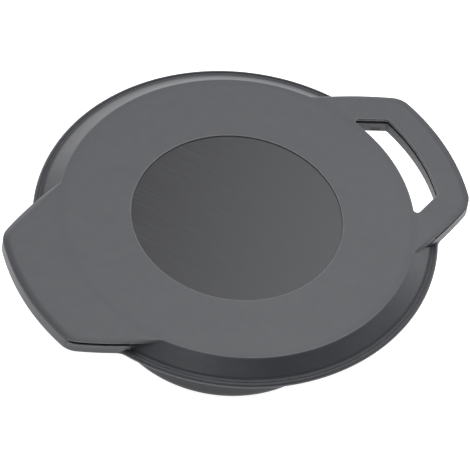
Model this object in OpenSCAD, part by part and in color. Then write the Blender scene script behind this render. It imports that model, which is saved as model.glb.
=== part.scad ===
// Lift-off manhole cover for a tank, with a hand slot.
// Z = 0 is the flat base of the plug, on the cover's axis, and the hand-slot lug points along +X.
// Heights inside the flange and lugs are counted up from the seat plane, which is the flange's underside.

/* [Plug and flange] */
// Outside diameter of the plug
plug_d = 240; // [200:1:300]
// Depth of the plug below the seat plane
plug_depth = 118; // [60:1:160]
// Radius round the plug's bottom edge
plug_edge_r = 10; // [6:1:20]
// Width of the flange, from the plug's side to its own edge
seat_w = 80; // [68:0.5:100]
// Height of the flange's rounded lip
lip_h = 5.5; // [5:0.5:7]
// Flat width on top of the lip, inside its rounded edge
lip_flat = 0.3; // [0.2:0.1:1.5]

/* [Top face] */
// Height from the seat plane to the flat top face
body_h = 19; // [16:0.5:24]
// Width of the sloped ring, from the flat top face to its foot
slope_w = 20.5; // [18:0.5:27]
// Radius of the rounded edge round the top face
top_edge_r = 2.5; // [2:0.5:4]
// Radius of the hollow at the slope's foot
hollow_r = 5; // [3:0.5:7]
// Diameter of the centre disc's pocket
disc_d = 208; // [140:1:250]
// Step from the top face down to the centre disc
disc_step = 1; // [0.5:0.1:1.5]
// Thickness of the centre disc
disc_t = 2.5; // [1.5:0.5:3]
// How far the centre disc's top bulges in the middle
disc_crown = 0.8; // [0.2:0.1:0.9]

/* [Walls] */
// Thickness of the top cover's skin
skin_t = 3.5; // [3:0.5:4]
// Thickness of the flange plate and the lug floors
floor_t = 3.5; // [3:0.5:4]
// Thickness of the walls round the lugs and the slot
wall_t = 4; // [3:0.5:5]
// Thickness of the plug's wall and bottom
plug_wall = 4; // [3:0.5:6]

/* [Lugs and hand slot] */
// How far each lug reaches past the flange's edge
lug_proud = 34; // [28:0.5:60]
// How far the lines of the lug's sides pass inside the flat top face's edge
lug_tuck = 14; // [6:0.5:20]
// Angle between a lug's centre line and the normal of its slanted side
lug_angle = 65; // [60:1:70]
// Radius of the gentle outward bow of the lug's sides
lug_bow_r = 380; // [300:10:600]
// Distance along a side from the normal through the cover's centre to the middle of the bow
lug_bow_at = 135; // [120:1:150]
// Radius of the lug's outer corners
lug_corner_r = 22; // [12:1:30]
// Width of the band left round the hand slot
band_w = 31; // [29:0.5:36]
// How far the slot's inner side lies outside the flat top face
slot_set = 1; // [0.5:0.5:6]
// Radius of the slot's corners
slot_corner_r = 2; // [1.5:0.5:5]

/* [Joint between the mouldings] */
// Height of the shadow gap under the lug plates' slanted sides
gap_h = 2.5; // [1:0.5:3]
// Depth of the shadow gap
gap_deep = 2; // [1:0.5:2]
// Width of the groove between the slope's foot and the lip
groove_w = 1.5; // [1:0.5:2]
// Clearance between mating faces
fit_gap = 0.3; // [0.1:0.1:0.4]

/* [Ribs] */
// Thickness of the stiffening ribs
rib_t = 3; // [2:0.5:4]
// Number of radial ribs, with one rim screw between each two
rib_n = 8; // [6:1:10]

/* [Screws] */
// Shank diameter
screw_d = 5; // [4:0.5:5]
// Head diameter
head_d = 9.5; // [8:0.5:10]
// Head height
head_h = 3; // [2.5:0.5:3]
// Thickness of the sealing washer
washer_t = 1; // [0.8:0.1:1.2]
// Thickness of the shelf that the washer seats on
shelf_t = 3.5; // [3:0.5:4]
// Angle between one lug screw and the next
lug_screw_angle = 11; // [9:1:12]

/* [Rim seal] */
// Distance from the plug's side to the middle of the seal
seal_set = 13; // [12:0.5:14]
// Width of the seal
seal_w = 8; // [6:0.5:9]
// How far the seal stands below the seat plane
seal_out = 2; // [1:0.5:3]
// How deep the seal sits in its groove
seal_in = 3; // [2.5:0.5:3.5]

/* [Hidden] */
$fn = 96;

moulding_grey = [0.40, 0.40, 0.42];
disc_grey = [0.37, 0.37, 0.39];
seal_black = [0.10, 0.10, 0.10];
foam_cream = [0.85, 0.78, 0.58];
steel = [0.72, 0.73, 0.75];

// An overlap that joins two solids, and a length that carries a cut right through
join = 0.01;
past = 1;

// Radii, from the plug outwards
plug_r = plug_d / 2;
flange_r = plug_r + seat_w;
lip_r = lip_h / 2;
lip_inner = flange_r - lip_r - lip_flat;
foot_r = lip_inner - groove_w;
top_r = foot_r - slope_w;
disc_r = disc_d / 2;
seal_r = plug_r + seal_set;
lug_reach = flange_r + lug_proud;
lug_side = top_r - lug_tuck;
bow_c = polar(lug_side - lug_bow_r, lug_angle) + polar(lug_bow_at, lug_angle - 90);
slot_inner = top_r + slot_set;
slot_outer = lug_reach - band_w;

// Levels, up from the seat plane
under_plate = body_h - skin_t;
gap_z = under_plate - gap_h;
pocket_z = body_h - disc_step - disc_t;
under_disc = pocket_z - skin_t;
ridge_h = seal_in + floor_t;
rib_low = ridge_h + 0.5;

// The slope is a straight cone, tangent to the rounded top edge and to the hollow before a narrow flat foot
foot_flat = 1;
slope_run = slope_w - foot_flat;
slope_drop = body_h - lip_h;
both_r = top_edge_r + hollow_r;
slope_a = asin(both_r / norm([slope_run, both_r - slope_drop])) + atan2(slope_drop - both_r, slope_run);

// Each screw passes up through a cup in the base moulding into a boss under the top cover
head_z = 0.5;
washer_z = head_z + head_h;
shelf_z = washer_z + washer_t;
shelf_top = shelf_z + shelf_t;
shank_top = under_plate - 0.5;
bore_r = head_d / 2 + 1;
cup_r = bore_r + 2.3;
hole_r = screw_d / 2 + fit_gap;
pilot_r = screw_d / 2 + 0.05;
boss_r = screw_d / 2 + 3.5;
ridge_side = 4;
ridge_out = seal_r + seal_w / 2 + ridge_side;
rim_screw_r = (ridge_out + slot_inner - wall_t) / 2;
lug_screw_r = lug_reach - band_w / 2;
rib_end = rim_screw_r - 4;

function arc(cx, cy, r, from, to, steps = 10) =
    [for (i = [0 : steps])
        let (a = from + (to - from) * i / steps) [cx + r * cos(a), cy + r * sin(a)]];
function polar(r, a) = [r * cos(a), r * sin(a)];
function mirrored(points) = [for (i = [len(points) - 1 : -1 : 0]) [points[i][0], -points[i][1]]];
function rim_screw_spots() =
    [for (i = [0 : rib_n - 1]) polar(rim_screw_r, (i + 0.5) * 360 / rib_n)];
function lug_screw_spots() =
    [for (lug = [0, 180], turn = [-1 : 1]) polar(lug_screw_r, lug + turn * lug_screw_angle)];
function all_screw_spots() = concat(rim_screw_spots(), lug_screw_spots());

// Draws its children in coordinates counted from the seat plane
module at_seat() {
    translate([0, 0, plug_depth]) children();
}

// Draws its children at each of a list of spots
module at_spots(spots) {
    for (p = spots) translate([p[0], p[1], 0]) children();
}

module ring(outer, inner, h) {
    difference() {
        cylinder(h = h, r = outer);
        translate([0, 0, -past]) cylinder(h = h + 2 * past, r = inner);
    }
}

// Lug outline: an arc about the cover's centre, two slanted and slightly bowed sides, and rounded corners
module lug_outline(inset) {
    corner_at = lug_reach - lug_corner_r;
    bow_at = norm(bow_c);
    opening = acos((corner_at ^ 2 + bow_at ^ 2 - (lug_bow_r - lug_corner_r) ^ 2) / (2 * corner_at * bow_at));
    corner_a = atan2(bow_c[1], bow_c[0]) + opening;
    corner = polar(corner_at, corner_a);
    bow_from = atan2(corner[1] - bow_c[1], corner[0] - bow_c[0]);
    bow_to = lug_angle + 15;
    upper = concat(arc(0, 0, lug_reach - inset, 0, corner_a, 8),
                   arc(corner[0], corner[1], lug_corner_r - inset, corner_a + 5, bow_from, 8),
                   arc(bow_c[0], bow_c[1], lug_bow_r - inset, bow_from + 1, bow_to, 8));
    polygon(concat(mirrored(upper), upper));
}

// Slot outline: two arcs about the cover's centre, and two straight ends slanted like the lug's sides
module slot_outline(grow) {
    corner_r = slot_corner_r + grow;
    end_line = lug_side - band_w - slot_corner_r;
    far_at = slot_outer - slot_corner_r;
    near_at = slot_inner + slot_corner_r;
    far_a = lug_angle - acos(end_line / far_at);
    near_a = lug_angle - acos(end_line / near_at);
    far = polar(far_at, far_a);
    near = polar(near_at, near_a);
    upper = concat(arc(0, 0, slot_outer + grow, 0, far_a, 6),
                   arc(far[0], far[1], corner_r, far_a + 10, lug_angle, 6),
                   arc(near[0], near[1], corner_r, lug_angle, near_a + 170, 8),
                   arc(0, 0, slot_inner - grow, near_a, 1, 6));
    polygon(concat(mirrored(upper), upper));
}

module both_lugs(inset = 0) {
    lug_outline(inset);
    rotate(180) lug_outline(inset);
}

// The band just inside the lugs' edges, between two insets
module lug_band(from, to) {
    difference() {
        both_lugs(from);
        both_lugs(to);
    }
}

module slot_cut() {
    translate([0, 0, -past]) linear_extrude(body_h + 2 * past) slot_outline(0);
}

// Skin of the top face and of the slope down to the groove, thicker under the centre disc
module skin_profile() {
    thick_r = disc_r + skin_t;
    polygon(concat(
        [[0, under_disc], [thick_r, under_disc], [thick_r, under_plate], [top_r - 1, under_plate],
         [foot_r - 6, floor_t], [foot_r, floor_t], [foot_r, lip_h]],
        arc(foot_r - foot_flat, lip_h + hollow_r, hollow_r, -90, -90 - slope_a, 6),
        arc(top_r, body_h - top_edge_r, top_edge_r, 90 - slope_a, 90, 6),
        [[0, body_h]]));
}

module ribs() {
    rib_h = under_plate - rib_low + join;
    translate([0, 0, rib_low]) {
        for (i = [0 : rib_n - 1])
            rotate(i * 360 / rib_n) translate([0, -rib_t / 2, 0]) cube([rib_end, rib_t, rib_h]);
        for (r = [disc_r / 2, disc_r + skin_t]) ring(r, r - rib_t, rib_h);
    }
}

// The part of a lug band that stands on the slope, from one inset inwards
module slope_wall(from) {
    intersection() {
        lug_band(from, wall_t);
        difference() {
            circle(r = foot_r);
            circle(r = top_r + 1);
        }
    }
}

// The lug plates, and the stretches of lug wall on the slope with the shadow gap at their tops
module cover_lugs() {
    translate([0, 0, under_plate]) linear_extrude(skin_t) difference() {
        both_lugs();
        circle(r = top_r - skin_t);
    }
    translate([0, 0, floor_t]) {
        linear_extrude(gap_z - floor_t) slope_wall(0);
        linear_extrude(under_plate - floor_t + join) slope_wall(gap_deep);
    }
}

module top_cover() {
    color(moulding_grey) at_seat() difference() {
        union() {
            difference() {
                rotate_extrude() skin_profile();
                translate([0, 0, -past]) linear_extrude(under_plate + past) difference() {
                    both_lugs(wall_t);
                    circle(r = top_r - 2);
                }
            }
            cover_lugs();
            ribs();
            at_spots(all_screw_spots())
                translate([0, 0, shelf_top]) cylinder(h = under_plate - shelf_top + join, r = boss_r);
        }
        translate([0, 0, pocket_z]) cylinder(h = body_h, r = disc_r);
        slot_cut();
        at_spots(all_screw_spots()) cylinder(h = shank_top + 0.3, r = pilot_r);
    }
}

// Disc with a flat base and a slightly domed top
module centre_disc() {
    side_r = disc_r - fit_gap;
    dome_r = (side_r ^ 2 + disc_crown ^ 2) / (2 * disc_crown);
    dome_top = disc_t + disc_crown;
    color(disc_grey) at_seat() translate([0, 0, pocket_z]) rotate_extrude()
        polygon(concat([[0, 0], [side_r, 0]],
                       arc(0, dome_top - dome_r, dome_r, 90 - asin(side_r / dome_r), 90, 8)));
}

// Deep cup of the plug, turning out into the flange plate and its rounded lip
module base_profile() {
    inner_r = plug_r - plug_wall;
    inner_edge = max(plug_edge_r - plug_wall, 1);
    polygon(concat(
        [[0, 0]],
        arc(plug_r - plug_edge_r, plug_edge_r, plug_edge_r, -90, 0, 8),
        [[plug_r, plug_depth]],
        arc(flange_r - lip_r, plug_depth + lip_r, lip_r, -90, 90, 12),
        [[lip_inner, plug_depth + lip_h], [lip_inner, plug_depth + floor_t],
         [inner_r, plug_depth + floor_t]],
        arc(inner_r - inner_edge, plug_wall + inner_edge, inner_edge, 0, -90, 8),
        [[0, plug_wall]]));
}

// Lug floors, and the walls round the lugs and the slot with the shadow gap at their tops.
// The gap runs along the slanted sides and the slot, and closes at the corners of the outer arcs.
module base_lugs() {
    linear_extrude(floor_t) difference() {
        both_lugs();
        circle(r = plug_r + past);
    }
    difference() {
        union() {
            linear_extrude(gap_z) lug_band(0, wall_t);
            linear_extrude(under_plate) lug_band(gap_deep, wall_t);
            linear_extrude(under_plate) difference() {
                lug_band(0, wall_t);
                circle(r = lug_reach - wall_t);
            }
        }
        translate([0, 0, -past]) cylinder(h = body_h + past, r = foot_r + fit_gap);
    }
    linear_extrude(gap_z) slot_outline(wall_t);
    linear_extrude(under_plate) difference() {
        slot_outline(wall_t);
        slot_outline(gap_deep);
    }
}

module base_moulding() {
    color(moulding_grey) difference() {
        union() {
            rotate_extrude() base_profile();
            at_seat() {
                base_lugs();
                ring(ridge_out, seal_r - seal_w / 2 - ridge_side, ridge_h);
                at_spots(all_screw_spots()) cylinder(h = shelf_top, r = cup_r);
            }
        }
        at_seat() {
            slot_cut();
            translate([0, 0, -past]) ring(seal_r + seal_w / 2, seal_r - seal_w / 2, seal_in + past);
            at_spots(all_screw_spots()) {
                translate([0, 0, -past]) cylinder(h = shelf_z + past, r = bore_r);
                cylinder(h = body_h, r = hole_r);
            }
        }
    }
}

module foam_core() {
    side_r = plug_r - plug_wall - fit_gap;
    low = plug_wall + fit_gap;
    edge_r = max(plug_edge_r - plug_wall, 1);
    top = plug_depth + floor_t;
    color(foam_cream) rotate_extrude()
        polygon(concat([[0, low]],
                       arc(side_r - edge_r, low + edge_r, edge_r, -90, 0, 8),
                       [[side_r, top], [0, top]]));
}

// Flat-sided ring in its groove, with a half-oval sealing face below
module rim_seal() {
    half = seal_w / 2 - fit_gap / 2;
    oval = [for (a = [18 : 18 : 162]) [seal_r - half * cos(a), -seal_out * sin(a)]];
    color(seal_black) at_seat() rotate_extrude()
        polygon(concat([[seal_r + half, seal_in], [seal_r - half, seal_in], [seal_r - half, 0]],
                       oval,
                       [[seal_r + half, 0]]));
}

// Pan head with a hexagon socket, and a plain shank up into the boss
module screw() {
    socket_deep = head_h * 0.6;
    translate([0, 0, head_z]) difference() {
        cylinder(h = head_h, r = head_d / 2);
        translate([0, 0, -past]) cylinder(h = past + socket_deep, r = screw_d * 0.35, $fn = 6);
    }
    translate([0, 0, washer_z - join]) cylinder(h = shank_top - washer_z + join, r = screw_d / 2);
}

module rim_screws() {
    color(steel) at_seat() at_spots(rim_screw_spots()) screw();
}

module lug_screws() {
    color(steel) at_seat() at_spots(lug_screw_spots()) screw();
}

module sealing_washers() {
    color(seal_black) at_seat() at_spots(all_screw_spots())
        translate([0, 0, washer_z]) ring(head_d / 2 + 0.5, pilot_r, washer_t);
}

top_cover();
centre_disc();
base_moulding();
foam_core();
rim_seal();
rim_screws();
lug_screws();
sealing_washers();
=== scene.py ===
# Lift-off tank cover with a hand slot: two grey mouldings, an inlaid disc, seal and screws.
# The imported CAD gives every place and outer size. The surfaces here add rounded edges and finishes.
import math
import bmesh
import bpy
import numpy as np
from mathutils import Matrix, Vector
from mathutils.geometry import delaunay_2d_cdt


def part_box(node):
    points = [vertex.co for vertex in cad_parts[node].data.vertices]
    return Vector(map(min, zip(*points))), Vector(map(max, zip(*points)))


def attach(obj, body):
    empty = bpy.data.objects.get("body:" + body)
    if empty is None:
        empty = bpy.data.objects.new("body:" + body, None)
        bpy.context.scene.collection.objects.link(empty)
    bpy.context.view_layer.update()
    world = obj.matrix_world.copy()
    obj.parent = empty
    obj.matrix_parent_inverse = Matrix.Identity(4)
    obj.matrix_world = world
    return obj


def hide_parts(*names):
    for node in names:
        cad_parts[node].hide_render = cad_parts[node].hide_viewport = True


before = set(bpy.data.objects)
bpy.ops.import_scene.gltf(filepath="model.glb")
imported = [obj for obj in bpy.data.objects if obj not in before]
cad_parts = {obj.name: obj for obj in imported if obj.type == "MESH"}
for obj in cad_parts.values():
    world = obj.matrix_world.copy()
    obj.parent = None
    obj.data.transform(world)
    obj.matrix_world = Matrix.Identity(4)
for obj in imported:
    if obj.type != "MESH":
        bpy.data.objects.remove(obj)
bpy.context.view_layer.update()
mm = 0.001

# Seal and its groove in mm: the groove's depth gives the seat plane
sealPart = {
    "set": 13.0,            # from the plug's side to the middle of the seal
    "proud": 2.0,           # how far the seal stands below the seat plane
    "deep": 3.0,            # depth of the groove
    "groove": 8.0,          # width of the groove
    "side": 0.15,           # clearance on each side of the seal
    "bevel": 0.3,
}

# Sizes in mm that the two mouldings share
shell = {
    "lip": 5.5,             # height of the flange's rounded lip
    "lipFlat": 0.3,
    "groove": 1.5,          # width of the groove between lip and slope
    "slopeWidth": 20.5,
    "footFlat": 1.0,
    "topEdge": 2.5,         # radius where the top face turns into the slope
    "hollow": 5.0,          # radius of the hollow at the slope's foot
    "skin": 3.5,
    "floor": 3.5,
    "wall": 4.0,
    "plugWall": 4.0,
    "foamGap": 0.3,         # clearance between the foam and the plug's wall
    "gap": 2.0,             # depth of the shadow gap between the mouldings
    "gapHigh": 2.5,
    "lugTuck": 14.0,        # how far the lines of a lug's sides pass inside the top face's edge
    "lugAngle": 65.0,       # between a lug's centre line and the normal of its side
    "bow": 380.0,           # radius of the side's gentle outward bow
    "bowAt": 135.0,         # from the normal through the axis to the middle of the bow
    "lugCorner": 22.0,
    "lugFillet": 16.0,      # plan radius where a lug's side runs into the flange
    "band": 31.0,           # band left round the hand slot
    "slotSet": 1.0,         # from the top face's edge to the slot's inner side
    "slotCorner": 2.0,
    "slotTip": 3.6,         # rounding of the slot's two corners nearest the axis
}


def boxOf(node):
    # low and high corners of a node's box, in mm
    low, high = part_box(node)
    return np.array(low) / mm, np.array(high) / mm


topZ = boxOf("top_cover")[1][2]
lugReach, flangeRadius = boxOf("base_moulding")[1][:2]
discLow, discHigh = boxOf("centre_disc")
discLowZ, discTopZ, discRadius = discLow[2], discHigh[2], discHigh[0]
sealOuter = boxOf("rim_seal")[1][0]
seatZ = boxOf("rim_seal")[1][2] - sealPart["deep"]
plugRadius = boxOf("foam_core")[1][0] + shell["plugWall"] + shell["foamGap"]
print("frame loaded: seat plane at", round(seatZ, 2), "mm, top face at", round(topZ, 2), "mm")

footRadius = flangeRadius - shell["lip"] / 2 - shell["lipFlat"] - shell["groove"]
topRadius = footRadius - shell["slopeWidth"]
lugSide = topRadius - shell["lugTuck"]
lipZ = seatZ + shell["lip"]
floorZ = seatZ + shell["floor"]
plateZ = topZ - shell["skin"]
gapZ = plateZ - shell["gapHigh"]
slopeRun = shell["slopeWidth"] - shell["footFlat"]
bothRadii = shell["topEdge"] + shell["hollow"]
slopeDrop = topZ - lipZ
slopeTurn = (math.asin(bothRadii / math.hypot(slopeRun, bothRadii - slopeDrop))
             + math.atan2(slopeDrop - bothRadii, slopeRun))
crestEnd = topRadius + shell["topEdge"] * math.sin(slopeTurn)
hollowStop = footRadius - shell["footFlat"]
hollowStart = hollowStop - shell["hollow"] * math.sin(slopeTurn)
lugTurn = math.radians(shell["lugAngle"])
lugNormal = np.array([math.cos(lugTurn), math.sin(lugTurn)])
alongSide = np.array([lugNormal[1], -lugNormal[0]])
bowCentre = (lugSide - shell["bow"]) * lugNormal + shell["bowAt"] * alongSide
bowReach = np.linalg.norm(bowCentre)
bowTurn = math.atan2(bowCentre[1], bowCentre[0])
slotInner = topRadius + shell["slotSet"]
slotOuter = lugReach - shell["band"]
grooveOuter = sealOuter + sealPart["side"]


def meetTurn(reach, size):
    # angle of the point at one distance from the axis and another from the bow's centre: cosine rule
    return bowTurn + math.acos((reach ** 2 + bowReach ** 2 - size ** 2) / (2 * reach * bowReach))


cornerReach = lugReach - shell["lugCorner"]
cornerTurn = meetTurn(cornerReach, shell["bow"] - shell["lugCorner"])
cornerCentre = cornerReach * np.array([math.cos(cornerTurn), math.sin(cornerTurn)])


# mesh helpers

sharpAngle = 32             # degrees between faces from which an edge stays sharp
highlightRadius = 1.0            # edges this tight, in mm, get the full painted highlight


def polar(radius, turn):
    # a point at that radius and angle: radius times (cos, sin)
    return np.stack([radius * np.cos(turn), radius * np.sin(turn)], axis=-1)


def ease(share):
    # smooth step from 0 to 1: three times the square less twice the cube
    return share * share * (3 - 2 * share)


def gridFaces(rows, columns, closeRows=False):
    # quads of a rows by columns grid, whose last row joins the first where it closes
    i = np.arange(rows if closeRows else rows - 1)
    a, b = np.meshgrid(i, np.arange(columns - 1), indexing="ij")
    c, d = (a + 1) % rows, b + 1
    quads = np.stack([a * columns + b, c * columns + b, c * columns + d, a * columns + d], axis=-1)
    return quads.reshape(-1, 4)


def revolve(profile, steps=288):
    # surface of revolution: each profile point (r, z) goes to (r cos t, r sin t, z) for t all round
    profile = np.array(profile, float)
    turn = np.linspace(0, 2 * np.pi, steps, endpoint=False)[:, None]
    flat = polar(profile[None, :, 0], turn)
    z = np.broadcast_to(profile[None, :, 1, None], (*flat.shape[:2], 1))
    return sheet(np.concatenate([flat, z], axis=-1))


def bend(centre, radius, start, end, count):
    # arc of a profile: centre plus radius times (cos, sin), for evenly spaced angles in degrees
    turn = np.radians(np.linspace(start, end, count))
    return [[centre[0] + radius * math.cos(t), centre[1] + radius * math.sin(t)] for t in turn]


def circleLoop(radius, steps, centre=(0, 0)):
    turn = np.linspace(0, 2 * np.pi, steps, endpoint=False)
    return polar(radius, turn) + np.array(centre)


def sheet(strip):
    # surface through columns of points that run all the way round
    return strip.reshape(-1, 3), gridFaces(*strip.shape[:2], closeRows=True)


def withoutRepeats(loop):
    # the loop without points that lie on the point before them
    step = np.linalg.norm(np.roll(loop, -1, axis=0) - loop, axis=1)
    return loop[step > 1e-6]


def raised(flat, z):
    # plan points at height z, which is one number or one for each point
    return np.column_stack([flat, np.broadcast_to(z, (len(flat),))])


def moveOut(flat, normals, out, z):
    # plan points moved along their normals, at height z
    return raised(flat + normals * np.reshape(out, (-1, 1)), z)


def inside(points, loop):
    # even-odd test: a point is inside where a ray along +x crosses the loop an odd number of times
    a, b = loop, np.roll(loop, -1, axis=0)
    px, py = points[:, 0, None], points[:, 1, None]
    spans = (a[None, :, 1] > py) != (b[None, :, 1] > py)
    rise = np.where(b[:, 1] == a[:, 1], 1e-12, b[:, 1] - a[:, 1])
    cross = a[None, :, 0] + (py - a[None, :, 1]) * (b[:, 0] - a[:, 0])[None] / rise[None]
    return (np.sum(spans & (px < cross), axis=1) % 2) == 1


def flatFill(outer, holes, z):
    # flat sheet at height z, filling the outer loop and leaving the holes, as Delaunay triangles
    loops = [outer, *holes]
    flat = np.concatenate(loops)
    starts = np.cumsum([0] + [len(loop) for loop in loops])
    edges = []
    for start, loop in zip(starts, loops):
        at = np.arange(len(loop))
        edges += np.stack([start + at, start + (at + 1) % len(loop)], axis=1).tolist()
    found = delaunay_2d_cdt([Vector(p) for p in flat.tolist()], edges, [], 1, 1e-7)
    points = np.array([list(p) for p in found[0]])
    triangles = np.array(found[2])
    middles = points[triangles].mean(axis=1)
    keep = inside(middles, outer)
    for hole in holes:
        keep &= ~inside(middles, hole)
    return raised(points, z), triangles[keep]


def repeatAt(part, spots):
    # the same small surface at each spot in plan
    points, faces = part
    moved = points[None] + raised(spots, 0)[:, None]
    shifted = faces[None] + (np.arange(len(spots)) * len(points))[:, None, None]
    return moved.reshape(-1, 3), shifted.reshape(-1, faces.shape[1])


def markEdges(mesh):
    # convexity at each vertex: how fast the normal turns along its edges, times the radius of the full
    # painted highlight
    count = len(mesh.vertices)
    ends = np.zeros(len(mesh.edges) * 2, int)
    mesh.edges.foreach_get("vertices", ends)
    ends = ends.reshape(-1, 2)
    place, normal = np.zeros(count * 3), np.zeros(count * 3)
    mesh.vertices.foreach_get("co", place)
    mesh.vertices.foreach_get("normal", normal)
    place, normal = place.reshape(-1, 3) / mm, normal.reshape(-1, 3)
    along = place[ends[:, 1]] - place[ends[:, 0]]
    length = np.maximum(np.linalg.norm(along, axis=1), 0.05)
    turning = np.sum((normal[ends[:, 1]] - normal[ends[:, 0]]) * along, axis=1) / length ** 2
    steepest = np.zeros(count)
    np.maximum.at(steepest, ends[:, 0], turning)
    np.maximum.at(steepest, ends[:, 1], turning)
    edge = mesh.attributes.new("edge", "FLOAT", "POINT")
    edge.data.foreach_set("value", np.clip(steepest * highlightRadius, 0, 1).astype(np.float32))


def addObject(name, data):
    added = bpy.data.objects.new(name, data)
    bpy.context.scene.collection.objects.link(added)
    return added


def makePiece(name, parts, node):
    # joins the surfaces in mm, scales them to metres, merges doubles and turns the faces outwards
    points, faces, count = [], [], 0
    for partPoints, partFaces in parts:
        points.append(partPoints)
        faces += (partFaces + count).tolist()
        count += len(partPoints)
    mesh = bpy.data.meshes.new(name)
    mesh.from_pydata((np.concatenate(points) * mm).tolist(), [], faces)
    work = bmesh.new()
    work.from_mesh(mesh)
    bmesh.ops.remove_doubles(work, verts=work.verts, dist=0.00001)
    bmesh.ops.dissolve_degenerate(work, edges=work.edges, dist=0.000002)
    bmesh.ops.recalc_face_normals(work, faces=work.faces)
    work.to_mesh(mesh)
    work.free()
    mesh.shade_smooth()
    mesh.set_sharp_from_angle(angle=math.radians(sharpAngle))
    markEdges(mesh)
    piece = addObject(name, mesh)
    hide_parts(node)
    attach(piece, "root")
    print(name, "made with", len(mesh.polygons), "faces")
    return piece


# outlines that both mouldings follow

def lugRadius(turn):
    # distance from the axis to the lug's edge at each angle: an arc about the axis,
    # then a corner circle and a wide bow, each met by the ray from the axis
    ray = polar(1, turn)
    along = ray @ cornerCentre
    corner = along + np.sqrt(np.maximum(along ** 2 - cornerReach ** 2 + shell["lugCorner"] ** 2, 0))
    alongBow = ray @ bowCentre
    side = alongBow + np.sqrt(alongBow ** 2 - bowReach ** 2 + shell["bow"] ** 2)
    return np.where(turn <= cornerTurn, lugReach, np.where(turn <= cornerEnd, corner, side))


cornerOut = (cornerCentre - bowCentre) / np.linalg.norm(cornerCentre - bowCentre)
cornerStop = cornerCentre + shell["lugCorner"] * cornerOut
cornerEnd = math.atan2(cornerStop[1], cornerStop[0])
# angles of the columns over a lug's outer arc and its corner
lugFront = np.concatenate([np.linspace(0, cornerTurn, 14)[:-1],
                           np.linspace(cornerTurn, cornerEnd, 14)[:-1]])


def sideTurn(radius):
    # angle at which the lug's side lies at that radius
    return meetTurn(radius, shell["bow"])


def lugNormals(turn):
    # plan normal of the lug's edge: radial on the arc, then away from the corner's or the bow's centre
    ray = polar(1, turn)
    edge = ray * lugRadius(turn)[:, None]
    fromCorner = (edge - cornerCentre) / shell["lugCorner"]
    fromBow = (edge - bowCentre) / shell["bow"]
    onArc = (turn <= cornerTurn)[:, None]
    onCorner = (turn <= cornerEnd)[:, None]
    away = np.where(onArc, ray, np.where(onCorner, fromCorner, fromBow))
    return away / np.linalg.norm(away, axis=1)[:, None]


def mirrorQuarter(quarter):
    # a quarter turn of columns, mirrored into a whole turn without repeating the shared columns
    flipX, flipY = np.array([-1, 1, 1]), np.array([1, -1, 1])
    second = quarter[::-1][1:] * flipX
    third = quarter[1:] * flipX * flipY
    fourth = quarter[::-1][1:-1] * flipY
    return np.concatenate([quarter, second, third, fourth])


def slotLoop(grow):
    # slot outline moved out by grow: two arcs about the axis, joined by corner circles and straight ends
    corner, tip = shell["slotCorner"], shell["slotTip"]
    endLine = lugSide - shell["band"]
    farTurn = lugTurn - math.acos((endLine - corner) / (slotOuter - corner))
    nearTurn = lugTurn - math.acos((endLine - tip) / (slotInner + tip))
    cornerSweep = np.linspace(farTurn, lugTurn, 10)
    tipSweep = np.linspace(lugTurn, nearTurn + np.pi, 14)
    upper = np.concatenate([
        polar(slotOuter + grow, np.linspace(0, farTurn, 16)),
        polar(slotOuter - corner, farTurn) + polar(corner + grow, cornerSweep),
        polar(slotInner + tip, nearTurn) + polar(tip + grow, tipSweep),
        polar(slotInner - grow, np.linspace(nearTurn, 0, 20)),
    ])
    lower = upper[::-1][1:-1] * np.array([1, -1])
    return np.concatenate([upper, lower])


def slotStrip(profile):
    # the slot's outline carried down a profile of (grow, z) steps
    return sheet(np.stack([raised(slotLoop(grow), z) for grow, z in profile], axis=1))


def slopeHeight(radius):
    # height of the slope: a convex circle at the top, a straight cone, a hollow circle, the flat foot
    edge, bowl = shell["topEdge"], shell["hollow"]
    crest = topZ - edge + np.sqrt(np.maximum(edge ** 2 - (radius - topRadius) ** 2, 0))
    straight = topZ - edge * (1 - math.cos(slopeTurn)) - (radius - crestEnd) * math.tan(slopeTurn)
    fromFoot = np.maximum(hollowStop - radius, 0)
    hollow = lipZ + bowl - np.sqrt(np.maximum(bowl ** 2 - fromFoot ** 2, 0))
    return np.where(radius < crestEnd, crest, np.where(radius < hollowStart, straight, hollow))


print("outlines ready: lug corner turns at", round(math.degrees(cornerTurn), 1), "degrees")

# screws' places

screwPlan = {
    "rimCount": 8,
    "lugStep": 11.0,        # degrees between lug screws
    "boreRadius": 5.75,
    "holeRadius": 2.8,
    "shelf": 4.5,           # height above the seat plane of the shelf that the washers lie on
    "cup": 8.05,            # radius of the boss round each bore
    "cupTop": 8.0,          # height of the boss above the seat plane
}
# the rim screws stand midway between the seal's groove and the hand slot
rimTurns = (np.arange(screwPlan["rimCount"]) + 0.5) * 2 * np.pi / screwPlan["rimCount"]
rimSpots = polar((grooveOuter + slotInner) / 2, rimTurns)
lugSteps = np.array([-1, 0, 1]) * screwPlan["lugStep"]
lugSpots = polar(lugReach - shell["band"] / 2, np.radians(np.concatenate([lugSteps, 180 + lugSteps])))
screwSpots = np.concatenate([rimSpots, lugSpots])

# top moulding

topMould = {
    "edge": 1.7,            # drop of the lug plates' soft top edge
    "softWide": 7.0,        # width of that soft edge
    "softPower": 1.5,       # power of the sine that it falls by
    "slotEdge": 0.7,
    "softLow": 1.2,         # rounding under the plates' edge
    "pocketEdge": 0.7,
    "pocketGap": 0.1,       # clearance round the centre disc
    "support": 1.2,         # flat ring beside each rounded edge
    "fade": 3.0,            # degrees over which the wall on the slope steps back from the plate's edge
    "footEdge": 0.4,
    "skirt": 6.0,           # width of the ring under the slope's foot
}


def radiusAtHeight(z):
    # radius at which the slope passes a height, found by interpolation
    radii = np.linspace(topRadius + 1, hollowStop, 400)
    return float(np.interp(-z, -slopeHeight(radii), radii))


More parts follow.
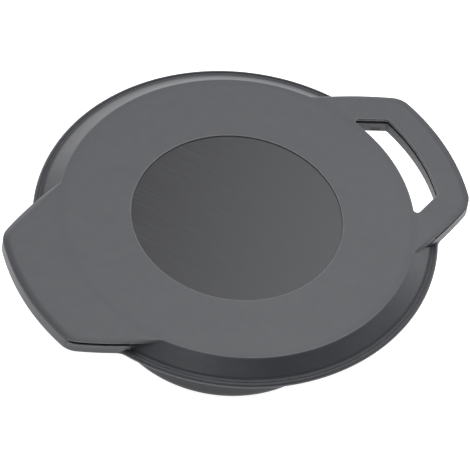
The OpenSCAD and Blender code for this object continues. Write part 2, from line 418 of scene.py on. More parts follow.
def topTurns():
    # angles of the columns from the middle of a lug to the cover's side, and how many are the lug's own
    alongLug = np.concatenate([lugFront, np.linspace(cornerEnd, sideTurn(footRadius), 16)])
    overSlope = np.linspace(sideTurn(footRadius), sideTurn(topRadius), 34)
    plain = np.linspace(sideTurn(topRadius), np.pi / 2, 40)[1:]
    return np.concatenate([alongLug, overSlope, plain]), len(alongLug)


def wallRadii(turns, reach, lean):
    # radii of the plate's underside and of the wall on the slope: the gap's depth behind the plate's edge,
    # which the wall steps back to over the first few degrees past the foot
    gone = np.clip(np.degrees(turns - sideTurn(footRadius)) / topMould["fade"], 0, 1)
    back = np.maximum(reach - shell["gap"] / lean, np.minimum(reach, radiusAtHeight(plateZ)))
    wall = np.maximum(reach - shell["gap"] * ease(gone) / lean, back)
    isPlain = turns >= sideTurn(topRadius) - 1e-9
    return np.where(isPlain, reach, back), np.where(isPlain, reach, wall)


def topQuarter():
    # columns from the middle of a lug to the cover's side: flat, rounded edge, wall, slope, foot, underside
    turns, lugCount = topTurns()
    isLug = np.arange(len(turns)) < lugCount
    lugColumn = isLug[:, None]
    reach = np.maximum(lugRadius(np.minimum(turns, sideTurn(topRadius))), topRadius)
    ray = polar(1, turns)
    edgePoint = ray * reach[:, None]
    away = np.where((turns < sideTurn(topRadius))[:, None], lugNormals(turns), ray)
    edge = topMould["edge"]
    drop = np.where(isLug, edge, np.minimum(edge, topZ - slopeHeight(reach)))
    share = (sideTurn(topRadius) - turns) / (sideTurn(topRadius) - sideTurn(flangeRadius))
    share = np.clip(share, 0, 1)
    soft = drop + (topMould["softWide"] - drop) * ease(share)
    rings = [moveOut(edgePoint, away, -soft - topMould["support"], topZ)]
    for part in np.linspace(0, np.pi / 2, 12):
        fall = (1 - share) * (1 - math.cos(part)) + share * math.sin(part) ** topMould["softPower"]
        rings.append(moveOut(edgePoint, away, -soft + soft * math.sin(part), topZ - drop * fall))
    low = topMould["softLow"]
    wallLow = np.where(isLug, plateZ + low, np.maximum(slopeHeight(reach), plateZ))
    rings.append(moveOut(edgePoint, away, 0, wallLow))
    lean = np.maximum(np.sum(ray * away, axis=1), 0.3)
    backReach, wallReach = wallRadii(turns, reach, lean)
    lugLow = moveOut(edgePoint, away, -low * 0.3, plateZ + low * 0.3)
    for radii, lowest in ((backReach, plateZ), (backReach, gapZ), (wallReach, gapZ), (wallReach, 0)):
        ring = raised(ray * radii[:, None], np.maximum(slopeHeight(radii), lowest))
        rings.append(np.where(lugColumn, lugLow, ring))
    crest = topRadius + shell["topEdge"] * np.sin(np.linspace(0, slopeTurn, 7))
    straight = np.linspace(crestEnd, hollowStart, 8)[1:-1]
    hollow = hollowStop - shell["hollow"] * np.sin(np.linspace(slopeTurn, 0, 8))
    slopeRadii = np.concatenate([crest, straight, hollow, [footRadius - topMould["footEdge"]]])
    under = np.linspace(low, shell["wall"], len(slopeRadii))
    for radius, inwards in zip(slopeRadii, under):
        onSlope = np.maximum(wallReach, radius)
        slopePoint = raised(ray * onSlope[:, None], slopeHeight(onSlope))
        rings.append(np.where(lugColumn, moveOut(edgePoint, away, -inwards, plateZ), slopePoint))
    lugInner = moveOut(edgePoint, away, -shell["wall"], plateZ)
    for radius, z in ((footRadius, lipZ - topMould["footEdge"]), (footRadius, floorZ),
                      (footRadius - topMould["skirt"], floorZ), (topRadius - 1, plateZ)):
        rings.append(np.where(lugColumn, lugInner, raised(ray * radius, z)))
    return np.stack(rings, axis=1)


def buildTopCover():
    strip = mirrorQuarter(topQuarter())
    support, edge = topMould["support"], topMould["pocketEdge"]
    pocketRadius = discRadius + topMould["pocketGap"]
    rimOut = pocketRadius + edge + support
    pocket = revolve([[0, discLowZ], [pocketRadius * 0.5, discLowZ], [pocketRadius, discLowZ],
                      [pocketRadius, topZ - edge - 0.3]]
                     + bend((pocketRadius + edge, topZ - edge), edge, 180, 90, 5) + [[rimOut, topZ]])
    slotEdge, low = topMould["slotEdge"], topMould["softLow"]
    slot = slotStrip([[slotEdge + support, topZ]]
                     + bend((slotEdge, topZ - slotEdge), slotEdge, 90, 180, 6)
                     + [[0, plateZ + low], [low * 0.3, plateZ + low * 0.3], [low, plateZ],
                        [shell["wall"], plateZ]])
    face = flatFill(strip[:, 0, :2], [circleLoop(rimOut, 288), slotLoop(slotEdge + support)], topZ)
    thick, underDisc = pocketRadius + shell["skin"], discLowZ - shell["skin"]
    innerLoop = withoutRepeats(strip[:, -1, :2])
    under = flatFill(innerLoop, [circleLoop(thick, 96), slotLoop(shell["wall"])], plateZ)
    middle = revolve([[thick, plateZ], [thick, underDisc], [0, underDisc]], 96)
    parts = [sheet(strip), pocket, slot, face, under, middle]
    return makePiece("top_moulding", parts, "top_cover")


topPiece = buildTopCover()

# base moulding

baseMould = {
    "edge": shell["lip"] / 2,   # rounding of the lip and of the lugs' lower edge
    "slotEdge": 2.2,
    "support": 1.2,         # flat ring beside each rounded edge
    "plugEdge": 10.0,
    "plugFillet": 1.5,
    "boreEdge": 0.4,
    "wallMeet": 0.05,       # clearance to the top moulding's wall on the slope
    "grooveDeep": 0.5,      # visible depth of the groove beside the lip
}


def filletParts():
    # plan fillet between the flange's circle and the lug's side: a circle that touches both from outside
    size = shell["lugFillet"]
    reach = flangeRadius + size
    turn = meetTurn(reach, shell["bow"] + size)
    centre = reach * np.array([math.cos(turn), math.sin(turn)])
    touch = centre + (bowCentre - centre) * size / (shell["bow"] + size)
    return centre, math.atan2(touch[1], touch[0]), turn


def baseTurns(filletStart, filletEnd):
    # angles of the columns from the middle of a lug to the cover's side, and how many are the lug's own
    wallStop = sideTurn(footRadius + baseMould["wallMeet"])
    side = [np.linspace(cornerEnd, filletStart, 8)[:-1], np.linspace(filletStart, wallStop, 12)]
    alongLug = np.concatenate([lugFront, *side])
    overFillet = np.linspace(wallStop, filletEnd, 6) if filletEnd > wallStop else np.array([wallStop])
    plain = np.linspace(max(filletEnd, wallStop), np.pi / 2, 52)[1:]
    return np.concatenate([alongLug, overFillet, plain]), len(alongLug)


def baseQuarter():
    # columns of the base's rim: rounded lower edge, then a lug's wall and shadow gap or the lip and groove
    size = shell["lugFillet"]
    centre, filletStart, filletEnd = filletParts()
    turns, lugCount = baseTurns(filletStart, filletEnd)
    isLug = np.arange(len(turns)) < lugCount
    lugColumn = isLug[:, None]
    onSide, onFillet = turns <= filletStart, turns <= filletEnd
    ray = polar(1, turns)
    along = ray @ centre
    near = along - np.sqrt(np.maximum(along ** 2 - centre @ centre + size ** 2, 0))
    lug = lugRadius(np.minimum(turns, turns[lugCount - 1]))
    reach = np.where(onSide, lug, np.where(onFillet, near, flangeRadius))
    edgePoint = ray * reach[:, None]
    toCentre = (centre - edgePoint) / size
    away = np.where(onSide[:, None], lugNormals(turns), np.where(onFillet[:, None], toCentre, ray))
    grooveReach = footRadius + shell["groove"]
    wallReach = np.where(isLug, np.minimum(lug, reach), grooveReach)
    wallPoint = ray * wallReach[:, None]
    wallAway = np.where(lugColumn, lugNormals(turns), ray)
    edge = baseMould["edge"]
    lipRound = np.minimum(edge, reach - wallReach)
    lipTop = seatZ + edge + lipRound

    def wall(out, lugHigh, ringOut, ringZ):
        # a lug's wall moved inwards, and beyond the lug a ring inside the slope's foot
        ring = raised(ray * (footRadius + baseMould["wallMeet"] - ringOut), ringZ)
        return np.where(lugColumn, moveOut(wallPoint, wallAway, -out, lugHigh), ring)

    rings = [moveOut(edgePoint, away, -edge - baseMould["support"], seatZ)]
    for out, z in bend((-edge, seatZ + edge), edge, 270, 360, 8):
        rings.append(moveOut(edgePoint, away, out, z))
    for part in np.linspace(0, np.pi / 2, 8)[1:]:
        lipHigh = seatZ + edge + lipRound * math.sin(part)
        rings.append(moveOut(edgePoint, away, -lipRound * (1 - math.cos(part)), lipHigh))
    ledgeReach = np.maximum(wallReach, np.minimum(grooveReach, reach))
    rings.append(raised(ray * ledgeReach[:, None], lipTop))
    grooveZ = lipZ - baseMould["grooveDeep"]
    grooveFoot = raised(ray * grooveReach, grooveZ)
    rings.append(np.where(lugColumn, raised(wallPoint, lipTop), grooveFoot))
    # the gap closes where the corner reaches the outer arc
    fade = np.clip((turns - cornerTurn) / (cornerEnd - cornerTurn) * 2 - 0.6, 0, 1)
    gap, thick, upperZ = shell["gap"], shell["wall"], plateZ - 0.1
    deep = gap * ease(fade)
    for out, lugHigh, ringOut, ringZ in (
            (0, lipZ + 0.05, 0, grooveZ), (0, gapZ - 0.3, 0, floorZ),
            (np.minimum(deep, 0.3), gapZ, 0, floorZ), (deep, gapZ, gap, floorZ),
            (deep, upperZ, gap, floorZ), (thick, upperZ, thick, floorZ), (thick, floorZ, thick, floorZ)):
        rings.append(wall(out, lugHigh, ringOut, ringZ))
    return np.stack(rings, axis=1)


def cupSurface():
    # a screw's bore from below, its shelf and hole, and the boss that stands round it inside
    bore, edge = screwPlan["boreRadius"], baseMould["boreEdge"]
    hole, cup = screwPlan["holeRadius"], screwPlan["cup"]
    shelfZ, cupZ = seatZ + screwPlan["shelf"], seatZ + screwPlan["cupTop"]
    mouth = bore + edge + 0.4
    profile = [[mouth, seatZ]] + bend((bore + edge, seatZ + edge), edge, 270, 180, 4)
    profile += [[bore, shelfZ], [hole, shelfZ], [hole, cupZ], [cup, cupZ], [cup, floorZ]]
    return revolve(profile, 32), mouth


def plugSurface():
    # from the seal's groove inwards: groove, seat, fillet, the plug's side, its rounded edge and its base
    grooveInner = grooveOuter - sealPart["groove"]
    bevel, deepZ = sealPart["bevel"], seatZ + sealPart["deep"]
    edge, fillet = baseMould["plugEdge"], baseMould["plugFillet"]
    mouth = grooveOuter + bevel + 0.5
    profile = [[mouth, seatZ]] + bend((grooveOuter + bevel, seatZ + bevel), bevel, 270, 180, 3)
    profile += [[grooveOuter, deepZ], [grooveInner, deepZ]]
    profile += bend((grooveInner - bevel, seatZ + bevel), bevel, 0, -90, 3)
    profile += [[grooveInner - bevel - 0.5, seatZ], [plugRadius + fillet + 0.8, seatZ]]
    profile += bend((plugRadius + fillet, seatZ - fillet), fillet, 90, 180, 6)
    profile += [[plugRadius, z] for z in np.linspace(seatZ - fillet - 1, edge + 1, 8)]
    profile += bend((plugRadius - edge, edge), edge, 0, -90, 14)
    profile += [[plugRadius - edge - 2, 0], [plugRadius / 2, 0], [0, 0]]
    return revolve(profile), mouth


def buildBase():
    strip = mirrorQuarter(baseQuarter())
    slotEdge, wall, gap = baseMould["slotEdge"], shell["wall"], shell["gap"]
    slotMouth = slotEdge + baseMould["support"]
    slot = slotStrip([[slotMouth, seatZ]] + bend((slotEdge, seatZ + slotEdge), slotEdge, 270, 180, 7)
                     + [[0, gapZ - 0.3], [0.3, gapZ], [gap, gapZ], [gap, plateZ - 0.1],
                        [wall, plateZ - 0.1], [wall, floorZ]])
    cup, boreMouth = cupSurface()
    plug, plugMouth = plugSurface()
    plugWall = shell["plugWall"]
    plugInner, innerEdge = plugRadius - plugWall, baseMould["plugEdge"] - plugWall
    inner = revolve([[plugInner, floorZ], [plugInner, baseMould["plugEdge"]]]
                    + bend((plugInner - innerEdge, baseMould["plugEdge"]), innerEdge, 0, -90, 6)
                    + [[0, plugWall]], 96)
    boreLoops = [circleLoop(boreMouth, 32, spot) for spot in screwSpots]
    cupLoops = [circleLoop(screwPlan["cup"], 32, spot) for spot in screwSpots]
    lower = flatFill(withoutRepeats(strip[:, 0, :2]),
                     [circleLoop(plugMouth, 288), slotLoop(slotMouth), *boreLoops], seatZ)
    upper = flatFill(withoutRepeats(strip[:, -1, :2]),
                     [circleLoop(plugInner, 96), slotLoop(wall), *cupLoops], floorZ)
    parts = [sheet(strip), slot, repeatAt(cup, screwSpots), plug, inner, lower, upper]
    return makePiece("base_shell", parts, "base_moulding")


basePiece = buildBase()

# centre disc, seal and screws

discPart = {
    "edge": 0.12,
    "flat": 0.5,            # width of the ring beside the rounded rim
    "rings": 24,
    "crown": 0.8,
}


def buildDisc():
    # shallow dome with a rounded rim: the top falls by crown times the squared share of the radius
    edge, crown = discPart["edge"], discPart["crown"]
    radii = np.linspace(0, discRadius - edge - discPart["flat"], discPart["rings"])
    dome = [[r, discTopZ - crown * (r / discRadius) ** 2] for r in radii]
    rim = bend((discRadius - edge, discTopZ - crown - edge), edge, 90, 0, 6)
    profile = dome + rim + [[discRadius, discLowZ], [0, discLowZ]]
    return makePiece("inlaid_disc", [revolve(profile)], "centre_disc")


discPiece = buildDisc()


def buildSeal():
    # ring with a flat top in its groove and a half-oval face below: z falls by proud times the sine
    high, bevel = seatZ + sealPart["deep"], sealPart["bevel"]
    middle = plugRadius + sealPart["set"]
    half = sealOuter - middle
    turns = np.linspace(0, np.pi, 19)
    oval = [[middle - half * math.cos(t), seatZ - sealPart["proud"] * math.sin(t)] for t in turns]
    top = [[middle + half, high - 0.1], [middle + half - bevel, high],
           [middle - half + bevel, high], [middle - half, high - 0.1]]
    return makePiece("rim_gasket", [revolve([top[-1]] + oval + top)], "rim_seal")


sealPiece = buildSeal()

screwPart = {
    "head": 4.75,
    "headLow": 0.5,         # from the seat plane up to the head's face
    "headHigh": 3.0,
    "dome": 1.1,            # rounding of the head
    "socket": 2.0,          # from the axis to the socket's corners
    "socketDeep": 1.8,
    "shank": 2.5,
    "point": 0.6,           # how much narrower the shank's tip is
}


def screwSurface():
    # domed head turned about its axis, with a hexagon socket: its radius is the flat's distance over the
    # cosine of the angle to the flat
    dome, shank = screwPart["dome"], screwPart["shank"]
    turn = np.linspace(0, 2 * np.pi, 48, endpoint=False)
    flat = screwPart["socket"] * math.cos(math.pi / 6)
    socket = flat / np.cos(turn % (np.pi / 3) - np.pi / 6)
    low, head = seatZ + screwPart["headLow"], screwPart["head"]
    high, deep = low + screwPart["headHigh"], low + screwPart["socketDeep"]
    tipZ = boxOf("rim_screws")[1][2]
    rounds = [(0, deep + 0.4), (socket * 0.98, deep), (socket, low + 0.25), (socket + 0.25, low)]
    rounds += bend((head - dome, low + dome), dome, 270, 360, 7)
    rounds += [(head, high - 0.15), (head - 0.15, high), (shank, high), (shank, tipZ - 0.8),
               (shank - screwPart["point"], tipZ), (0, tipZ)]
    return sheet(np.stack([raised(polar(radius, turn), z) for radius, z in rounds], axis=1))


def buildScrews(name, spots, node):
    return makePiece(name, [repeatAt(screwSurface(), spots)], node)


rimScrewPiece = buildScrews("rim_fixings", rimSpots, "rim_screws")
lugScrewPiece = buildScrews("lug_fixings", lugSpots, "lug_screws")

# shader node groups


def newGroup(name, numbers, results):
    # a group that takes a position and some numbers, and gives values
    group = bpy.data.node_groups.new(name, "ShaderNodeTree")
    group.interface.new_socket("Position", in_out="INPUT", socket_type="NodeSocketVector")
    for key, value in numbers.items():
        socket = group.interface.new_socket(key, in_out="INPUT", socket_type="NodeSocketFloat")
        socket.default_value = value
    for key in results:
        group.interface.new_socket(key, in_out="OUTPUT", socket_type="NodeSocketFloat")
    return group, group.nodes.new("NodeGroupInput"), group.nodes.new("NodeGroupOutput")


def addNode(tree, kind, **settings):
    node = tree.nodes.new(kind)
    for key, value in settings.items():
        setattr(node, key, value)
    return node


def setInputs(node, values):
    for key, value in values.items():
        node.inputs[key].default_value = value


def mathNode(tree, operation, a, b=None):
    node = addNode(tree, "ShaderNodeMath", operation=operation)
    for socket, value in zip(node.inputs, (a, b)):
        if value is None:
            continue
        if isinstance(value, bpy.types.NodeSocket):
            tree.links.new(value, socket)
        else:
            socket.default_value = value
    return node.outputs[0]


def times(tree, a, b):
    return mathNode(tree, "MULTIPLY", a, b)


def spread(tree, value, low, high, toLow=0.0, toHigh=1.0):
    # a value's range mapped to another range, held at both ends
    node = addNode(tree, "ShaderNodeMapRange")
    tree.links.new(value, node.inputs["Value"])
    setInputs(node, {"From Min": low, "From Max": high, "To Min": toLow, "To Max": toHigh})
    return node.outputs["Result"]


def noiseNode(group, place, **values):
    node = addNode(group, "ShaderNodeTexNoise")
    group.links.new(place, node.inputs["Vector"])
    setInputs(node, values)
    return node


def turnedPlace(group, given):
    node = addNode(group, "ShaderNodeVectorRotate", rotation_type="Z_AXIS")
    group.links.new(given.outputs["Position"], node.inputs["Vector"])
    group.links.new(given.outputs["Turn"], node.inputs["Angle"])
    return node.outputs["Vector"]


def scaledPlace(group, place, factors):
    node = addNode(group, "ShaderNodeVectorMath", operation="MULTIPLY")
    node.inputs[1].default_value = factors
    group.links.new(place, node.inputs[0])
    return node.outputs["Vector"]


def makeGrain():
    # moulded grain: fine noise for the tool's matt texture, plus slow waves left by the cooling plastic
    numbers = {"Fineness": 1400.0, "Waves": 14.0}
    group, given, out = newGroup("mouldGrain", numbers, ("Height", "Tone"))
    for key, result, detail in (("Fineness", "Height", 3.0), ("Waves", "Tone", 2.0)):
        noise = noiseNode(group, given.outputs["Position"], Detail=detail)
        group.links.new(given.outputs[key], noise.inputs["Scale"])
        group.links.new(noise.outputs["Fac"], out.inputs[result])
    return group


def makeScuffs():
    # scuffs: noise stretched along one direction and cut to its peaks
    group, given, out = newGroup("handlingScuffs", {"Turn": 0.6, "Density": 60.0}, ("Mask",))
    stretched = scaledPlace(group, turnedPlace(group, given), (0.06, 1.0, 1.0))
    noise = noiseNode(group, stretched, Detail=4.0, Roughness=0.7)
    group.links.new(given.outputs["Density"], noise.inputs["Scale"])
    group.links.new(spread(group, noise.outputs["Fac"], 0.5, 0.72), out.inputs["Mask"])
    return group


def makeDust():
    # dust: lies where the surface faces up, broken by slow noise
    group, given, out = newGroup("dustFilm", {"Cover": 0.5}, ("Mask",))
    geometry = addNode(group, "ShaderNodeNewGeometry")
    split = addNode(group, "ShaderNodeSeparateXYZ")
    group.links.new(geometry.outputs["Normal"], split.inputs[0])
    facing = spread(group, split.outputs["Z"], 0.3, 1.0)
    noise = noiseNode(group, given.outputs["Position"], Scale=38.0, Detail=6.0, Roughness=0.62)
    patches = spread(group, noise.outputs["Fac"], 0.38, 0.72)
    both = times(group, facing, patches)
    group.links.new(times(group, both, given.outputs["Cover"]), out.inputs["Mask"])
    return group


def makeEdgeHighlight():
    # painted highlight along convex edges: the mesh's own convexity, broken up by noise
    group, given, out = newGroup("paintedEdgeHighlight", {"Amount": 0.6}, ("Mask",))
    edge = addNode(group, "ShaderNodeAttribute", attribute_name="edge")
    noise = noiseNode(group, given.outputs["Position"], Scale=210.0, Detail=3.0)
    broken = spread(group, noise.outputs["Fac"], 0.3, 0.6, 0.55, 1.0)
    convex = spread(group, edge.outputs["Fac"], 0.15, 0.9)
    both = times(group, convex, broken)
    group.links.new(times(group, both, given.outputs["Amount"]), out.inputs["Mask"])
    return group


def makePaintedLight():
    # painted light across the cover: lighter towards one side, from the distance along one level direction
    # mapped to 0..1 over a width
    group, given, out = newGroup("paintedLightAcross", {"Turn": 0.0, "Width": 0.1}, ("Mask",))
    split = addNode(group, "ShaderNodeSeparateXYZ")
    group.links.new(turnedPlace(group, given), split.inputs[0])
    share = mathNode(group, "DIVIDE", split.outputs["X"], given.outputs["Width"])
    group.links.new(spread(group, share, -1.0, 1.0), out.inputs["Mask"])
    return group


def makeShadeRing():
    # ring mask for painted shade: a soft band where the distance from the axis passes a radius
    group, given, out = newGroup("paintedShadeRing", {"Radius": 0.17, "Width": 0.004}, ("Mask",))
    size = addNode(group, "ShaderNodeVectorMath", operation="LENGTH")
    group.links.new(scaledPlace(group, given.outputs["Position"], (1.0, 1.0, 0.0)), size.inputs[0])
    offset = mathNode(group, "SUBTRACT", size.outputs["Value"], given.outputs["Radius"])
    share = mathNode(group, "DIVIDE", mathNode(group, "ABSOLUTE", offset), given.outputs["Width"])
    group.links.new(spread(group, share, 0.0, 1.0, 1.0, 0.0), out.inputs["Mask"])
    return group


grainGroup, scuffGroup, dustGroup = makeGrain(), makeScuffs(), makeDust()
edgeHighlightGroup, ringGroup, paintedLightGroup = makeEdgeHighlight(), makeShadeRing(), makePaintedLight()
print("shader groups made:", len(bpy.data.node_groups))


# materials

def startMaterial(name):
    material = bpy.data.materials.new(name)
    material.use_nodes = True
    tree = material.node_tree
    tree.nodes.clear()
    shader = tree.nodes.new("ShaderNodeBsdfPrincipled")
    result = tree.nodes.new("ShaderNodeOutputMaterial")
    tree.links.new(shader.outputs["BSDF"], result.inputs["Surface"])
    place = tree.nodes.new("ShaderNodeTexCoord")
    return material, tree, shader, place.outputs["Object"]


def useGroup(tree, group, position, **values):
    node = addNode(tree, "ShaderNodeGroup", node_tree=group)
    tree.links.new(position, node.inputs["Position"])
    setInputs(node, values)
    return node


def blendColour(tree, mask, a, b):
    node = addNode(tree, "ShaderNodeMix", data_type="RGBA")
    tree.links.new(mask, node.inputs["Factor"])
    for socket, value in ((node.inputs["A"], a), (node.inputs["B"], b)):
        if isinstance(value, bpy.types.NodeSocket):
            tree.links.new(value, socket)
        else:
            socket.default_value = (*value, 1.0)
    return node.outputs["Result"]


def finish(tree, shader, colour, rough, normal):
    for key, value in (("Base Color", colour), ("Roughness", rough), ("Normal", normal)):
        tree.links.new(value, shader.inputs[key])


def bumpFrom(tree, height, strength, distance):
    bump = addNode(tree, "ShaderNodeBump")
    setInputs(bump, {"Strength": strength, "Distance": distance})
    tree.links.new(height, bump.inputs["Height"])
    return bump.outputs["Normal"]


mouldLook = {
    "dark": (0.038, 0.0405, 0.051),
    "light": (0.049, 0.0515, 0.063),
    "dust": (0.10, 0.10, 0.104),
    "dustCover": 0.08,
    "sinkShade": 0.8,            # strength of the painted shade that stands for the sink mark where the skin thickens
    # painted shade at the slope's foot: a darker colour and less gloss in the hollow and groove
    "footShade": (0.012, 0.0125, 0.015),
    "footShadeCover": 0.3,       # strength of the painted shade in the hollow and groove at the slope's foot
    "footShadeGloss": 0.3,
    # painted highlight on convex edges: its colour and strength
    "highlightTint": (0.17, 0.175, 0.185),
    "edgeHighlight": 0.5,
    "gloss": 0.7,
    "rough": (0.35, 0.41),
    "grain": 0.3,
    "speckle": 0.16,
}


def footShadeMask(tree, position):
    # painted shade: the ring mask over the hollow and the groove, held to their heights so that the lugs
    # stay unshaded
    ring = useGroup(tree, ringGroup, position, Radius=(footRadius - 0.8) * mm, Width=0.005)
    height = addNode(tree, "ShaderNodeSeparateXYZ")
    tree.links.new(position, height.inputs[0])
    z, cover = height.outputs["Z"], mouldLook["footShadeCover"]
    below = spread(tree, z, (lipZ + 0.8) * mm, (lipZ + 2.2) * mm, cover, 0.0)
    above = mathNode(tree, "GREATER_THAN", z, (seatZ + 1.0) * mm)
    held = times(tree, spread(tree, ring.outputs["Mask"], 0.0, 0.4), below)
    return times(tree, held, above)


def mouldMaterial():
    material, tree, shader, position = startMaterial("greyMoulding")
    grain = useGroup(tree, grainGroup, position, Fineness=1500.0, Waves=16.0)
    dust = useGroup(tree, dustGroup, position, Cover=mouldLook["dustCover"])
    scuffs = useGroup(tree, scuffGroup, position, Turn=0.7, Density=90.0)
    tone = spread(tree, grain.outputs["Tone"], 0.35, 0.65)
    # half of the colour's tone is random, half is painted light that makes the cover lighter towards one
    # side
    fade = useGroup(tree, paintedLightGroup, position, Turn=0.6, Width=0.2)
    both = times(tree, mathNode(tree, "ADD", tone, fade.outputs["Mask"]), 0.5)
    colour = blendColour(tree, both, mouldLook["dark"], mouldLook["light"])
    colour = blendColour(tree, dust.outputs["Mask"], colour, mouldLook["dust"])
    patches = useGroup(tree, grainGroup, position, Fineness=520.0, Waves=95.0)
    fine = spread(tree, patches.outputs["Height"], 0.4, 0.7, 0.0, 0.5)
    slow = spread(tree, patches.outputs["Tone"], 0.4, 0.65, 0.0, 0.5)
    speckle = times(tree, mathNode(tree, "ADD", fine, slow), mouldLook["speckle"])
    colour = blendColour(tree, speckle, colour, mouldLook["dust"])
    # painted shade: a darker ring just inside the top face's edge, for the shading of a sink mark
    ring = useGroup(tree, ringGroup, position, Radius=(topRadius - 1.0) * mm, Width=0.007)
    sinkShade = times(tree, ring.outputs["Mask"], mouldLook["sinkShade"])
    colour = blendColour(tree, sinkShade, colour, mouldLook["dark"])
    # painted highlight: convex edges made lighter
    edgeHighlight = useGroup(tree, edgeHighlightGroup, position, Amount=mouldLook["edgeHighlight"])
    colour = blendColour(tree, edgeHighlight.outputs["Mask"], colour, mouldLook["highlightTint"])
    # painted shade: darker colour and lower gloss in the hollow and groove at the slope's foot
    footShade = footShadeMask(tree, position)
    colour = blendColour(tree, footShade, colour, mouldLook["footShade"])
    rough = spread(tree, grain.outputs["Tone"], 0.3, 0.7, *mouldLook["rough"])
    rough = mathNode(tree, "ADD", rough, times(tree, scuffs.outputs["Mask"], 0.05))
    gloss = spread(tree, footShade, 0.0, mouldLook["footShadeCover"], mouldLook["gloss"], mouldLook["footShadeGloss"])
    tree.links.new(gloss, shader.inputs["Specular IOR Level"])
    finish(tree, shader, colour, rough, bumpFrom(tree, grain.outputs["Height"], mouldLook["grain"], 0.00012))
    return material


discLook = {
    "dark": (0.017, 0.018, 0.022),
    # lighter end of the painted light across the disc, also the colour of the brushed streaks
    "litSideAndStreaks": (0.066, 0.068, 0.077),
    "rough": (0.34, 0.44),
    "turn": 0.95,           # direction of the brushed streaks, in radians
    "gloss": 0.42,
}


def discMaterial():
    material, tree, shader, position = startMaterial("brushedDisc")
    streaks = useGroup(tree, scuffGroup, position, Turn=discLook["turn"], Density=330.0)
    grain = useGroup(tree, grainGroup, position, Fineness=1700.0, Waves=10.0)
    # painted light: the disc is darker on one side and lighter on the other
    fade = useGroup(tree, paintedLightGroup, position, Turn=0.6, Width=discRadius * mm)
    mask = streaks.outputs["Mask"]
    colour = blendColour(tree, fade.outputs["Mask"], discLook["dark"], discLook["litSideAndStreaks"])
    colour = blendColour(tree, times(tree, mask, 0.5), colour, discLook["litSideAndStreaks"])
    rough = spread(tree, mask, 0.0, 1.0, *discLook["rough"])
    height = mathNode(tree, "ADD", times(tree, mask, 0.6), grain.outputs["Height"])
    finish(tree, shader, colour, rough, bumpFrom(tree, height, 0.3, 0.0001))
    shader.inputs["Specular IOR Level"].default_value = discLook["gloss"]
    return material


rubberLook = {
    "dark": (0.012, 0.012, 0.013),
    "light": (0.022, 0.022, 0.023),
    "dust": (0.08, 0.08, 0.08),
    "rough": (0.62, 0.8),
}


def rubberMaterial():
    material, tree, shader, position = startMaterial("sealRubber")
    grain = useGroup(tree, grainGroup, position, Fineness=1100.0, Waves=40.0)
    dust = useGroup(tree, dustGroup, position, Cover=0.4)
    slow = grain.outputs["Tone"]
    tone = spread(tree, slow, 0.3, 0.7)
    colour = blendColour(tree, tone, rubberLook["dark"], rubberLook["light"])
    colour = blendColour(tree, dust.outputs["Mask"], colour, rubberLook["dust"])
    rough = spread(tree, slow, 0.3, 0.7, *rubberLook["rough"])
    finish(tree, shader, colour, rough, bumpFrom(tree, grain.outputs["Height"], 0.3, 0.0001))
    return material


steelLook = {
    "dark": (0.52, 0.53, 0.54),
    "light": (0.68, 0.68, 0.69),
    "rough": (0.22, 0.38),
}


def steelMaterial():
    material, tree, shader, position = startMaterial("stainlessSteel")
    shader.inputs["Metallic"].default_value = 1.0
    scuffs = useGroup(tree, scuffGroup, position, Turn=0.2, Density=700.0)
    grain = useGroup(tree, grainGroup, position, Fineness=2200.0, Waves=90.0)
    colour = blendColour(tree, scuffs.outputs["Mask"], steelLook["dark"], steelLook["light"])
    rough = spread(tree, grain.outputs["Tone"], 0.3, 0.7, *steelLook["rough"])
    finish(tree, shader, colour, rough, bumpFrom(tree, scuffs.outputs["Mask"], 0.15, 0.00005))
    return material


foamLook = {
    "dark": (0.62, 0.52, 0.30),
    "light": (0.74, 0.65, 0.42),
    "rough": (0.75, 0.95),
}


def foamMaterial():
    material, tree, shader, position = startMaterial("foamFill")
    cells = addNode(tree, "ShaderNodeTexVoronoi")
    cells.inputs["Scale"].default_value = 420.0
    tree.links.new(position, cells.inputs["Vector"])
    distance = cells.outputs["Distance"]
    grain = useGroup(tree, grainGroup, position, Fineness=900.0, Waves=30.0)
    tone = spread(tree, grain.outputs["Tone"], 0.3, 0.7)
    colour = blendColour(tree, tone, foamLook["dark"], foamLook["light"])
    rough = spread(tree, distance, 0.0, 0.6, *foamLook["rough"])
    finish(tree, shader, colour, rough, bumpFrom(tree, distance, 0.5, 0.0003))
    return material


def setMaterial(material, *pieces):
    for piece in pieces:
        piece.data.materials.clear()
        piece.data.materials.append(material)


setMaterial(mouldMaterial(), topPiece, basePiece)
setMaterial(discMaterial(), discPiece)
setMaterial(rubberMaterial(), sealPiece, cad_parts["sealing_washers"])
setMaterial(steelMaterial(), rimScrewPiece, lugScrewPiece)
setMaterial(foamMaterial(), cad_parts["foam_core"])
print("materials made:", len(bpy.data.materials))

# floor, light and camera

studio = {
    "azimuth": -34.8,       # degrees, 0 looks along +Y
    "elevation": 50.3,
    "roll": 9.18,           # clockwise turn of the view, in degrees
    "distance": 11.0,
    "sensor": 36.0,
    "viewWidth": 460.108,   # mm across the view, at the middle of the top face
    "shiftRight": 2.056,    # mm from the view's middle to the middle of the top face
    "shiftUp": 17.327,
    "floor": 30.0,
    "floorCells": 8,
    "floorLow": 0.0002,     # gap under the cover, so that the two faces don't share a plane
    "floorTone": (0.86, 0.88),
    "floorGlow": 0.9,       # the floor's own light as the camera sees it
    "floorFill": 0.6,       # and as it lights the cover
    "world": 0.86,          # strength of the light from the far side
}


def viewAxes():
    a, e, r = (math.radians(studio[key]) for key in ("azimuth", "elevation", "roll"))
    back = Vector((math.sin(a) * math.cos(e), -math.cos(a) * math.cos(e), math.sin(e)))
    right = Vector((math.cos(a), math.sin(a), 0))
    up = Vector((-math.sin(e) * math.sin(a), math.sin(e) * math.cos(a), math.cos(e)))
    return math.cos(r) * right + math.sin(r) * up, math.cos(r) * up - math.sin(r) * right, back


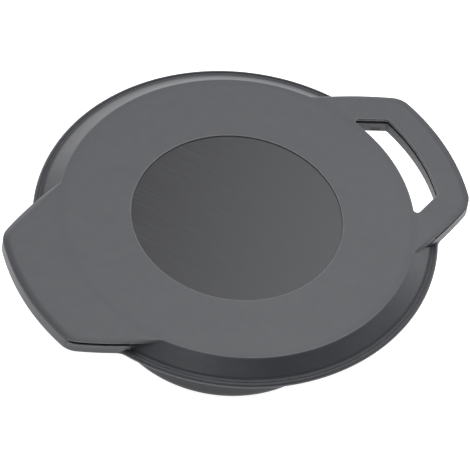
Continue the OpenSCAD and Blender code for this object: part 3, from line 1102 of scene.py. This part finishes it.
def makeCamera():
    right, up, back = viewAxes()
    data = bpy.data.cameras.new("viewCamera")
    camera = addObject("viewCamera", data)
    aim = Vector((0, 0, topZ * mm))
    aim -= right * studio["shiftRight"] * mm
    aim -= up * studio["shiftUp"] * mm
    turn = Matrix((right, up, back)).transposed().to_4x4()
    camera.matrix_world = Matrix.Translation(aim + back * studio["distance"]) @ turn
    data.sensor_width = studio["sensor"]
    data.lens = studio["sensor"] * studio["distance"] / (studio["viewWidth"] * mm)
    data.clip_end = 200.0
    bpy.context.scene.camera = camera


makeCamera()


def makeFloor():
    size, cells = studio["floor"], studio["floorCells"]
    steps = np.linspace(-size, size, cells + 1)
    x, y = np.meshgrid(steps, steps, indexing="ij")
    points = np.stack([x, y, np.full_like(x, -studio["floorLow"])], axis=-1).reshape(-1, 3)
    mesh = bpy.data.meshes.new("floor")
    mesh.from_pydata(points.tolist(), [], gridFaces(cells + 1, cells + 1)[:, ::-1].tolist())
    floor = addObject("floor", mesh)
    material, tree, shader, position = startMaterial("paleFloor")
    grain = useGroup(tree, grainGroup, position, Fineness=60.0, Waves=2.0)
    tone = spread(tree, grain.outputs["Tone"], 0.3, 0.7)
    dark, light = ((grey, grey, grey) for grey in studio["floorTone"])
    tree.links.new(blendColour(tree, tone, dark, light), shader.inputs["Base Color"])
    setInputs(shader, {"Roughness": 0.9, "Specular IOR Level": 0.1, "Emission Color": (1, 1, 1, 1)})
    seen = addNode(tree, "ShaderNodeLightPath").outputs["Is Camera Ray"]
    glow = spread(tree, seen, 0.0, 1.0, studio["floorFill"], studio["floorGlow"])
    tree.links.new(glow, shader.inputs["Emission Strength"])
    setMaterial(material, floor)


makeFloor()

# Each light: how far to the right, towards the viewer and up, its width, its power in watts
lights = {
    "topSoft": {"place": (0.4, -0.6, 2.5), "size": 2.4, "power": 31.0},
    "leftSoft": {"place": (-1.2, -2.5, 0.9), "size": 2.0, "power": 17.0},
    "rightSoft": {"place": (2.3, -1.6, 0.8), "size": 1.4, "power": 5.0},
    "nearSoft": {"place": (-0.6, 2.4, 2.6), "size": 1.6, "power": 11.0},
}


def makeLights():
    a = math.radians(studio["azimuth"])
    right = Vector((math.cos(a), math.sin(a), 0))
    near = Vector((math.sin(a), -math.cos(a), 0))
    target = Vector((0, 0, topZ * mm))
    for name, values in lights.items():
        across, towards, height = values["place"]
        data = bpy.data.lights.new(name, "AREA")
        data.size = values["size"]
        data.energy = values["power"]
        light = addObject(name, data)
        light.location = right * across + near * towards + Vector((0, 0, height))
        light.rotation_mode = "QUATERNION"
        light.rotation_quaternion = (target - light.location).to_track_quat("-Z", "Y")
        light.visible_camera = False
    world = bpy.data.worlds.new("studioWorld")
    world.use_nodes = True
    tree = world.node_tree
    place = addNode(tree, "ShaderNodeTexCoord")
    facing = addNode(tree, "ShaderNodeVectorMath", operation="DOT_PRODUCT")
    tree.links.new(place.outputs["Generated"], facing.inputs[0])
    facing.inputs[1].default_value = near
    fill = spread(tree, facing.outputs["Value"], -0.8, 0.6, studio["world"], 0.0)
    seen = addNode(tree, "ShaderNodeLightPath")
    strength = mathNode(tree, "MAXIMUM", fill, seen.outputs["Is Camera Ray"])
    tree.nodes["Background"].inputs["Color"].default_value = (1, 1, 1, 1)
    tree.links.new(strength, tree.nodes["Background"].inputs["Strength"])
    bpy.context.scene.world = world


makeLights()
bpy.context.scene.view_settings.view_transform = "Standard"
print("camera, floor and lights placed")

bpy.context.view_layer.update()
